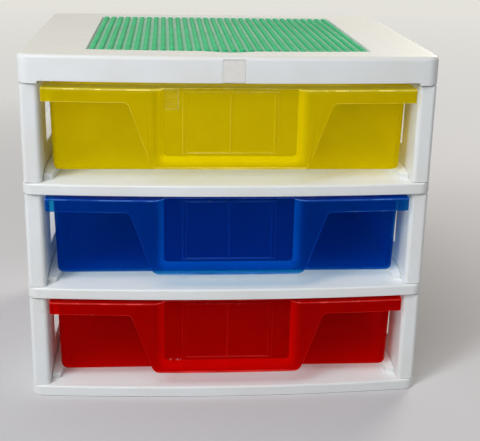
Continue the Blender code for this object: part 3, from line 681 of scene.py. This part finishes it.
def shelfBody():
    height = sideLow.z - shelf["gap"] * mm - shelfLow.z
    under = height - shelf["floor"] * mm
    radius = shelf["cornerRadius"] * mm
    levels = roundedLevels(0, height, shelf["footRounding"] * mm, shelf["topRounding"] * mm)
    body = roundedBlock(halfWidth, cornerY, backY, radius, levels)
    hollow = hollowLevels(0, under, shelf["hollowRounding"] * mm)
    cut(body, roundedBlock(halfWidth, cornerY, backY, radius, hollow))
    for ribs in channelRibs(0, under):
        join(body, blocks(ribs))
    bodyFootHalf = drawerHigh.x - (drawer["flangeWide"] + drawer["draft"]) * mm
    railInner = bodyFootHalf - shelf["railReach"] * mm
    railOuter = sideLow.x - shelf["gap"] * mm
    ribWide = shelf["ribWide"] * mm
    ribLow, ribHigh = under - shelf["ribDeep"] * mm, under + overlap
    ribs = []
    for step in range(shelf["ribsLong"]):
        x = -railInner + 2 * railInner * (step + 1) / (shelf["ribsLong"] + 1)
        low = (x - ribWide / 2, cornerY + wall / 2, ribLow)
        ribs.append((low, (x + ribWide / 2, backY - wall / 2, ribHigh)))
    join(body, blocks(ribs))
    ribs = []
    ribX = sideLow.x + seat["ribGap"] * mm + ribWide / 2
    for step in range(shelf["ribsAcross"]):
        y = cornerY + (backY - cornerY) * (step + 1) / (shelf["ribsAcross"] + 1)
        ribs.append(((-ribX, y - ribWide / 2, ribLow), (ribX, y + ribWide / 2, ribHigh)))
    join(body, blocks(ribs))
    frontY = sideLow.y + shelf["setback"] * mm
    rearY = drawerHigh.y - drawer["flangeWide"] * mm + (shelf["stopGap"] + shelf["stopLong"]) * mm
    for side in (-1, 1):
        join(body, railBody(side, railInner, railOuter, frontY, rearY, height))
    cleanMesh(body)
    return body


# Side frame: two posts, a sill and a top rail round a window, in millimetres
sideFrame = {
    "postDeep": 50, "postRounding": 4.2, "sillHigh": 24.5, "topRailHigh": 17, "windowRadius": 3,
    "endEdge": 0.5, "tongueHigh": 6, "gap": 0.3, "edge": 0.6,
}


def sideFrameBody():
    low, high = sideLow.z, sideHigh.z - (sideFrame["tongueHigh"] + sideFrame["gap"]) * mm
    edge = sideFrame["endEdge"] * mm
    part = edge * mould["roundShare"]
    rings = []
    for height, inset in ((low, 0), (high - edge, 0), (high - part, part), (high, edge)):
        radius = sideFrame["postRounding"] * mm - inset
        span = (sideLow.x + inset, sideHigh.x - inset, sideLow.y + inset, sideHigh.y - inset)
        outline = rectangle(*span, radius)
        rings.append([(x, y, height) for x, y in outline])
    body = ringStack(rings)
    deep = sideFrame["postDeep"] * mm
    window = rectangle(sideLow.y + deep, sideHigh.y - deep, low + sideFrame["sillHigh"] * mm,
                       high - sideFrame["topRailHigh"] * mm, sideFrame["windowRadius"] * mm)
    cut(body, prism(window, sideLow.x - past, sideHigh.x + past, "X"))
    cleanMesh(body)
    return body


# Top panel: bowed fascia, deep rounding, and the recess for the stud plate, in millimetres
topPanel = {
    "cornerRadius": 11, "topRounding": 4.5, "footRounding": 0.5, "hollowRounding": 3, "thickness": 2.6,
    "fasciaRelief": 2.4, "plateGap": 0.3, "recessGap": 1.3, "recessBow": 6, "notchDeep": 8.5, "notchHalf": 28,
    "labelPocket": 0.5, "labelGap": 0.08, "labelRadius": 1, "labelFacets": 4, "edge": 0.5,
}


def recessOutline(grow):
    plateMid = (plateLow.y + plateHigh.y) / 2
    half = (plateHigh.x - plateLow.x) / 2 + topPanel["recessGap"] * mm + grow
    front = plateMid - half
    notchHalf = topPanel["notchHalf"] * mm + grow
    count = 3 * mould["bowFacets"]
    points = []
    for step in range(count + 1):
        x = -half + 2 * half * step / count
        y = front - topPanel["recessBow"] * mm * (1 - (x / half) ** 2)
        if abs(x) < notchHalf:  # a thumb notch to lift the plate by
            y -= topPanel["notchDeep"] * mm * (1 + math.cos(math.pi * x / notchHalf)) / 2
        points.append((x, y))
    return points + [(half, plateMid + half), (-half, plateMid + half)]


def topPanelBody():
    look = topPanel
    base, height = topLow.z, topHigh.z
    radius = look["cornerRadius"] * mm
    under = height - look["thickness"] * mm
    levels = roundedLevels(base, height, look["footRounding"] * mm, look["topRounding"] * mm)
    body = roundedBlock(halfWidth, cornerY, backY, radius, levels)
    hollow = hollowLevels(base, under, look["hollowRounding"] * mm)
    cut(body, roundedBlock(halfWidth, cornerY, backY, radius, hollow))
    for ribs in channelRibs(base, under):
        join(body, blocks(ribs))
    reliefLow = (-sideLow.x, cornerY - frontBow - past, base - past)
    cut(body, blocks([(reliefLow, (sideLow.x, cornerY + wall + overlap, base + look["fasciaRelief"] * mm))]))
    recessDeep = plateHigh.z - plateLow.z + look["plateGap"] * mm
    join(body, prism(recessOutline(wall), height - recessDeep - wall, under + overlap))
    cut(body, prism(recessOutline(0), height - recessDeep, height + past))
    gap = look["labelGap"] * mm
    pocket = rectangle(labelLow.x - gap, labelHigh.x + gap, labelLow.z - gap, labelHigh.z + gap,
                       look["labelRadius"] * mm, look["labelFacets"])
    cut(body, prism(pocket, topLow.y - past, topLow.y + look["labelPocket"] * mm, "Y"))
    cleanMesh(body)
    return body


def studPlateBody():
    look = studPlate
    top = plateLow.z + look["sheet"] * mm
    centre = (plateLow + plateHigh) / 2
    corner, edge = look["corner"] * mm, look["sheetEdge"] * mm
    sheet = rectangle(plateLow.x, plateHigh.x, plateLow.y, plateHigh.y, corner, look["cornerFacets"])
    small = rectangle(plateLow.x + edge, plateHigh.x - edge, plateLow.y + edge, plateHigh.y - edge,
                      corner - edge, look["cornerFacets"])
    body = ringStack([[(x, y, z) for x, y in outline] for outline, z in (
        (small, plateLow.z), (sheet, plateLow.z + edge), (sheet, top - edge), (small, top))])
    work = bmesh.new()
    work.from_mesh(body.data)
    radius, rounding = look["studRadius"] * mm, look["studEdge"] * mm
    part = rounding * mould["roundShare"]
    profile = [(radius, top - look["studSink"] * mm), (radius, plateHigh.z - rounding),
               (radius - part, plateHigh.z - part), (radius - rounding, plateHigh.z)]
    angles = [2 * math.pi * step / look["sides"] for step in range(look["sides"])]
    turns = [(math.cos(angle), math.sin(angle)) for angle in angles]
    first = -(look["count"] - 1) / 2 * look["pitch"] * mm
    for column in range(look["count"]):
        for row in range(look["count"]):
            x = centre.x + first + column * look["pitch"] * mm
            y = centre.y + first + row * look["pitch"] * mm
            loops = [[work.verts.new((x + r * c, y + r * s, z)) for c, s in turns] for r, z in profile]
            for lowLoop, highLoop in zip(loops, loops[1:]):
                for index in range(look["sides"]):
                    following = (index + 1) % look["sides"]
                    work.faces.new((lowLoop[index], lowLoop[following], highLoop[following], highLoop[index]))
            work.faces.new(loops[-1])
            work.faces.new(list(reversed(loops[0])))
    work.to_mesh(body.data)
    work.free()
    return body


drawerTall = drawerHigh.z - drawerLow.z
lipY = drawerLow.y + frontBow
binY = lipY + drawer["setback"] * mm
binRear = drawerHigh.y - drawer["flangeWide"] * mm


def apronOutline():
    side = drawerHigh.x + past
    lipZ = drawerTall - drawer["lipHigh"] * mm
    lift = drawer["apronLift"] * mm
    half = drawer["apronHalf"] * mm
    footX = half - (lipZ - lift) * drawer["apronTaperShare"]
    fillet, corner = drawer["apronFillet"] * mm, drawer["apronCorner"] * mm
    return filletPolygon([
        (side, drawerTall + past, 0), (-side, drawerTall + past, 0), (-side, lipZ, 0), (-half, lipZ, fillet),
        (-footX, lift, corner), (footX, lift, corner), (half, lipZ, fillet), (side, lipZ, 0),
    ])


def dishOutline(reach, grow, topZ):  # reach is 0 at the scoop's floor and 1 at the apron's face
    footZ = (drawer["apronLift"] + drawer["dishFootEdge"] + drawer["dishFootSlope"] * (1 - reach)) * mm - grow
    floorRadius, floorHalf = drawer["dishFloorRadius"], drawer["dishFloorHalf"]
    radius = (floorRadius + (drawer["dishRadius"] - floorRadius) * reach) * mm + grow
    half = (floorHalf + (drawer["dishHalf"] - floorHalf) * reach) * mm + grow
    return filletPolygon([(half, topZ, 0), (-half, topZ, 0), (-half, footZ, radius), (half, footZ, radius)])


dishFloorY = binY + (drawer["dishDeep"] - drawer["setback"]) * mm - bowAt(drawer["dishHalf"] * mm)


def dishBody(grow, frontY, shift, topZ):
    deep = (drawer["dishDeep"] + drawer["dishOver"]) * mm
    steep, flat = [math.radians(value) for value in drawer["dishRoll"]]
    rings = [[(x, frontY, z + drawerLow.z) for x, z in dishOutline(1, grow, topZ)]]
    count = mould["cornerFacets"]
    for step in range(count + 1):  # the face rolls over into the scoop, and meets its floor at a crease
        angle = flat + (steep - flat) * step / count
        reach = (math.cos(steep) - math.cos(angle)) / (math.cos(steep) - math.cos(flat))
        rise = (math.sin(angle) - math.sin(steep)) / (math.sin(flat) - math.sin(steep))
        ring = []
        for x, z in dishOutline(reach, grow, topZ):
            bowed = bowAt(x) - bowAt(drawer["dishHalf"] * mm)
            ring.append((x, dishFloorY + shift - rise * (deep + bowed), z + drawerLow.z))
        rings.append(ring)
    return ringStack(rings)


def drawerFront():
    wallThick = drawer["wall"] * mm
    lift = drawer["apronLift"] * mm
    flangeCorner = drawer["flangeCorner"] * mm
    rim = bowedOutline(drawerHigh.x, lipY, drawerHigh.y, flangeCorner, drawer["cornerRadius"] * mm)
    body = prism(rim, drawerLow.z + lift - past, drawerHigh.z)
    frontY = drawerLow.y - past
    farY = drawerHigh.y + past
    apron = [(x, z + drawerLow.z) for x, z in apronOutline()]
    combine(body, prism(apron, frontY, farY, "Y"), "INTERSECT")
    inner = bowedFront(drawerHigh.x - wallThick, lipY + wallThick, flangeCorner - wallThick)
    side = drawerHigh.x + past
    turnY = inner[0][1] + past
    outline = inner + [(side, turnY), (side, farY), (-side, farY), (-side, turnY)]
    pocket = prism(outline, drawerLow.z + lift - 2 * past, drawerHigh.z - wallThick)
    cut(pocket, dishBody(wallThick, frontY, wallThick, drawerTall + past))
    cut(body, pocket)
    cut(body, dishBody(0, frontY, 0, drawerTall + 2 * past))
    return body


def binShell(inset, top):
    levels = []
    foot = drawer["footRadius"] * mm - inset
    for step in range(drawer["footFacets"] + 1):
        angle = math.pi / 2 * step / drawer["footFacets"]
        levels.append((inset + foot * (1 - math.cos(angle)), foot * (1 - math.sin(angle))))
    levels.append((top, 0))
    rings = []
    for height, pull in levels:
        draft = drawer["draft"] * mm * (1 - min(height / drawerTall, 1))
        half = drawerHigh.x - drawer["flangeWide"] * mm - draft - inset - pull
        frontY = binY - drawer["draft"] * mm + draft + inset + pull
        rearY = binRear - draft - inset - pull
        radius = drawer["cornerRadius"] * mm - inset - pull
        rings.append([(x, y, height + drawerLow.z) for x, y in rectangle(-half, half, frontY, rearY, radius)])
    return ringStack(rings)


def ridgeBlocks():
    foot = drawer["apronLift"] + drawer["dishFootEdge"] + drawer["dishFootSlope"] + drawer["ridgeFootGap"]
    low = drawerLow.z + foot * mm
    high = drawerHigh.z - drawer["ridgeTopGap"] * mm
    half, line, border = drawer["ridgeHalf"] * mm, drawer["ridgeLine"] * mm, drawer["ridgeBorder"] * mm
    faceY, rootY = dishFloorY - drawer["ridgeHigh"] * mm, dishFloorY + overlap
    upright = [(-half, -half + border), (half - border, half), (-line / 2, line / 2)]
    level = [(low, low + line), (high - line, high)]
    return (
        blocks([((a, faceY, low), (b, rootY, high)) for a, b in upright]),
        blocks([((-half, faceY, a), (half, rootY, b)) for a, b in level]),
    )


def drawerBody():
    body = drawerFront()
    inset = drawer["wall"] * mm
    half = drawerHigh.x - (drawer["flangeWide"] + drawer["wall"] / 2) * mm
    front = binY + (drawer["wall"] / 2 - drawer["draft"]) * mm
    hole = rectangle(-half, half, front, binRear - inset / 2, drawer["cornerRadius"] * mm - inset / 2)
    cut(body, prism(hole, drawerHigh.z - 2 * inset, drawerHigh.z + past))
    openBin = binShell(0, drawerTall)
    cut(openBin, binShell(inset, drawerTall + past))
    join(body, openBin)
    for ridges in ridgeBlocks():
        join(body, ridges)
    cleanMesh(body)
    return body


def markFront(mesh):  # where a drawer's front gets painted glow, most on the scoop's rolled sides and the flange's top
    look = drawer["paintedGlowShares"]
    work = bmesh.new()
    work.from_mesh(mesh)
    mark = work.faces.layers.float.new("gathered")
    lipZ = drawerHigh.z - drawer["lipHigh"] * mm - near
    stripZ = drawerLow.z + (drawer["apronLift"] + drawer["footStrip"]) * mm
    for face in work.faces:
        centre = face.calc_center_median()
        turned = 1 - abs(face.normal.y)
        if centre.y > binY - past or face.normal.y > 0:
            face[mark] = 0
        elif face.normal.z > mould["facingUp"] and centre.z > drawerHigh.z - near:
            face[mark] = look["flange"]
        elif abs(centre.x) < drawer["ridgeHalf"] * mm + near and abs(centre.y - dishFloorY) < near:
            face[mark] = look["dish"] + look["ridge"] * turned
        elif abs(centre.x) < drawer["dishHalf"] * mm and centre.z > stripZ:
            onFloor = centre.y > dishFloorY - near and turned < drawer["paintedGlowFlat"]
            face[mark] = look["dish"] if onFloor else min(look["apron"] + look["roll"] * turned, look["most"])
        else:
            face[mark] = look["lip"] if centre.z > lipZ else look["apron"]
    work.to_mesh(mesh)
    work.free()


# Blank label: a square of film with rounded corners, in millimetres
label = {"corner": 1, "cornerFacets": 6, "edge": 0.12}


def labelBody():
    radius = label["corner"] * mm
    outline = rectangle(labelLow.x, labelHigh.x, labelLow.z, labelHigh.z, radius, label["cornerFacets"])
    return prism(outline, labelLow.y, labelHigh.y, "Y")


shelfMesh = finished(shelfBody(), shelf["edge"] * mm)
sideShape = sideFrameBody()
leftShape = bpy.data.objects.new("left side frame", sideShape.data.copy())
bpy.context.scene.collection.objects.link(leftShape)
leftShape.data.transform(Matrix.Diagonal((-1, 1, 1, 1)))  # mirrored while plain, so its edges shade right
leftShape.data.flip_normals()
sideMesh = finished(sideShape, sideFrame["edge"] * mm)
leftMesh = finished(leftShape, sideFrame["edge"] * mm)
topMesh = finished(topPanelBody(), topPanel["edge"] * mm)
print("white mouldings shaped")
drawerMesh = finished(drawerBody(), drawer["edge"] * mm, drawer["edgeSharp"], drawer["edgeSteps"])
markFront(drawerMesh)
print("drawer shaped:", len(drawerMesh.polygons), "faces")
plateShape = studPlateBody()
plateShape.data.shade_smooth()
plateShape.data.set_sharp_from_angle(angle=math.radians(studPlate["edgeSharp"]))
plateMesh = plateShape.data.copy()
bpy.data.objects.remove(plateShape)
labelMesh = finished(labelBody(), label["edge"] * mm)

for tier, tierName in enumerate(tiers):
    lift = tierPitch * tier
    tag = tierName.capitalize()
    placePiece("shelf" + tag, shelfMesh, white, "shelf_" + tierName, lift)
    for sideName, sideShown in (("Right", sideMesh), ("Left", leftMesh)):
        node = "side_frame_" + tierName + "_" + sideName.lower()
        placePiece("sideFrame" + tag + sideName, sideShown, white, node, lift)
    own = drawerFinishes[tierName]
    placePiece(own["piece"], drawerMesh, clearPlastics[tierName], "drawer_" + tierName, lift)
placePiece("topPanel", topMesh, paintedTopShadeWhite, "top_panel")
placePiece("studPlate", plateMesh, green, "stud_plate")
placePiece("frontLabel", labelMesh, film, "front_label")


# Scrap of old clear tape in the top corner of the yellow drawer's scoop, in millimetres
tapeScrap = {
    "left": -59.2, "right": -46.6, "drop": 0.8, "long": 18, "lift": 0.05, "across": 18, "down": 24,
    "ragged": 0.45, "raggedTurns": (1.7, 0.6), "bubble": 0.02, "bubbleTurns": (0.9, 0.5), "tornMilk": 0.5,
}


def tapeMesh():
    look = tapeScrap
    work = bmesh.new()
    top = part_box("drawer_top")[1].z - look["drop"] * mm
    border = work.verts.layers.float.new("border")
    fastTurn, slowTurn = look["raggedTurns"]
    acrossTurn, downTurn = look["bubbleTurns"]
    rows = []
    for row in range(look["down"] + 1):
        z = top - look["long"] * mm * row / look["down"]
        line = []
        for column in range(look["across"] + 1):
            share = column / look["across"]
            x = (look["left"] + (look["right"] - look["left"]) * share) * mm
            atFoot = row == look["down"]
            torn = math.sin(column * fastTurn) * math.cos(column * slowTurn) * look["ragged"] * mm * atFoot
            bubble = look["bubble"] * mm * math.sin(column * acrossTurn + row * downTurn)
            point = work.verts.new((x, dishFloorY - look["lift"] * mm + bubble, z + torn))
            point[border] = 1.0 if row == 0 or column == look["across"] else look["tornMilk"] * atFoot
            line.append(point)
        rows.append(line)
    for upper, lower in zip(rows, rows[1:]):
        for index in range(look["across"]):
            work.faces.new((upper[index], lower[index], lower[index + 1], upper[index + 1]))
    mesh = bpy.data.meshes.new("tape")
    work.to_mesh(mesh)
    work.free()
    mesh.shade_smooth()
    return mesh


placePiece("tapeScrap", tapeMesh(), tape, "drawer_top")

# Studio: pale floor, soft lamps and the photograph's view; lengths in metres, lamp power in watts
studio = {
    "floorRadius": 7, "floorSides": 128, "floorDrop": 0.0003, "floorColour": "D5D3D4", "floorFibre": "CDCBCC",
    "fibre": (2.5, 3, 0.3, 0.7, 0.94, 1), "nearColour": "D3D1CF",
    "farColour": "E4E2DB", "farSteps": steps(0.7, 3.5), "awaySteps": steps(0.35, 1.4), "skyColour": "E8E5DF",
    "fillLeft": 0.41, "fillRight": 0.11, "fillTop": "FFF8EC", "sideLeft": "F2F8FF", "sideRight": "D2E6FF",
    "topSteps": steps(0.1, 0.8),
    "lamps": {
        "highLeft": {"at": (-0.35, -0.9, 1.7), "size": 0.8, "power": 10, "colour": "F2F8FF"},
        "frontLeft": {"at": (-0.92, -1.15, 1.28), "size": 0.5, "power": 13, "colour": "FBFBFF"},
        "backRight": {"at": (1.0, 1.3, 1.1), "size": 0.8, "power": 15, "colour": "FFFAF0"},
    },
    "aim": (0, 0, 0.17), "camera": (-0.0580, -1.0052, 0.4574), "pitch": 18.14, "yaw": 4.56, "roll": -1.19,
    "focalPixels": 975.2, "photoWide": 480, "sensor": 36, "clipStart": 0.02, "clearBounces": 32,
}


def seenRays(add):  # 1 for what the camera sees, also in gloss and through clear walls
    seen = add("LightPath", {}, "Is Camera Ray")
    for kind in ("Is Glossy Ray", "Is Transmission Ray"):
        other = add("LightPath", {}, kind)
        seen = add("Math ADD", {"use_clamp": True, 0: seen, 1: other})
    return seen


def buildFloor():
    work = bmesh.new()
    bmesh.ops.create_circle(work, cap_ends=True, radius=studio["floorRadius"], segments=studio["floorSides"])
    floor = addMesh("floor", work)
    floor.location.z = -studio["floorDrop"]
    material, add = newMaterial("seamless paper floor")  # matt and pale near the object; farther out a glowing backdrop with painted light, greyer near and paler far off
    position = add("NewGeometry", {}, "Position")
    reach = add("VectorMath LENGTH", {0: position}, "Value")
    fibre = blotches(add, position, *studio["fibre"])
    matt = add("BsdfDiffuse", {"Color": layered(add, studio["floorFibre"], (fibre, studio["floorColour"]))})
    far = add("MapRange", {0: reach, **studio["farSteps"]})
    glow = add("Emission", {
        "Color": layered(add, studio["nearColour"], (far, studio["farColour"])), "Strength": 1.0})
    away = add("MapRange", {0: reach, **studio["awaySteps"]})
    share = add("Math MULTIPLY", {0: seenRays(add), 1: away})
    surface = add("MixShader", {0: share, 1: matt, 2: glow})
    add("OutputMaterial", {"Surface": surface})
    floor.data.materials.append(material)


def buildWorld():
    world = bpy.data.worlds.new("studio")
    world.use_nodes = True
    world.node_tree.nodes.clear()
    add = partial(addNode, world.node_tree)
    direction = add("TexCoord", {}, "Generated")
    rise = add("SeparateXYZ", {0: direction}, "Z")
    rise = add("MapRange", {0: rise, **studio["topSteps"]})
    rightward = add("SeparateXYZ", {0: direction}, "X")
    rightward = add("MapRange", {0: rightward, **steps(-1, 1)})
    colour = layered(add, studio["sideLeft"], (rightward, studio["sideRight"]), (rise, studio["fillTop"]))
    power = add("MapRange", {0: rightward, **steps(0, 1, studio["fillLeft"], studio["fillRight"])})
    fill = add("Background", {"Color": colour, "Strength": power})
    shown = add("Background", {"Color": linear(studio["skyColour"]), "Strength": 1.0})
    both = add("MixShader", {0: seenRays(add), 1: fill, 2: shown})
    add("OutputWorld", {"Surface": both})
    bpy.context.scene.world = world


def addLamp(name, look):
    data = bpy.data.lights.new(name, "AREA")
    data.shape = "DISK"
    data.size = look["size"]
    data.energy = look["power"]
    data.color = linear(look["colour"])[:3]
    lamp = bpy.data.objects.new(name, data)
    lamp.location = look["at"]
    lamp.rotation_mode = "QUATERNION"
    lamp.rotation_quaternion = (Vector(studio["aim"]) - lamp.location).to_track_quat("-Z", "Y")
    bpy.context.scene.collection.objects.link(lamp)


def addCamera():
    pitch, yaw, roll = [math.radians(studio[key]) for key in ("pitch", "yaw", "roll")]
    ahead = Vector((math.sin(yaw) * math.cos(pitch), math.cos(yaw) * math.cos(pitch), -math.sin(pitch)))
    level = Vector((math.cos(yaw), -math.sin(yaw), 0))
    down = ahead.cross(level)
    right = math.cos(roll) * level + math.sin(roll) * down
    down = -math.sin(roll) * level + math.cos(roll) * down
    data = bpy.data.cameras.new("camera")
    data.sensor_width = studio["sensor"]
    data.lens = studio["focalPixels"] / studio["photoWide"] * studio["sensor"]
    data.clip_start = studio["clipStart"]
    camera = bpy.data.objects.new("camera", data)
    turn = Matrix((right, -down, -ahead)).transposed().to_4x4()
    camera.matrix_world = Matrix.Translation(studio["camera"]) @ turn
    bpy.context.scene.collection.objects.link(camera)
    bpy.context.scene.camera = camera


buildFloor()
buildWorld()
for lampName, lampLook in studio["lamps"].items():
    addLamp(lampName, lampLook)
addCamera()
scene = bpy.context.scene
scene.view_settings.view_transform = "Standard"
scene.cycles.transparent_max_bounces = studio["clearBounces"]  # a drawer has many clear faces
print("studio ready")
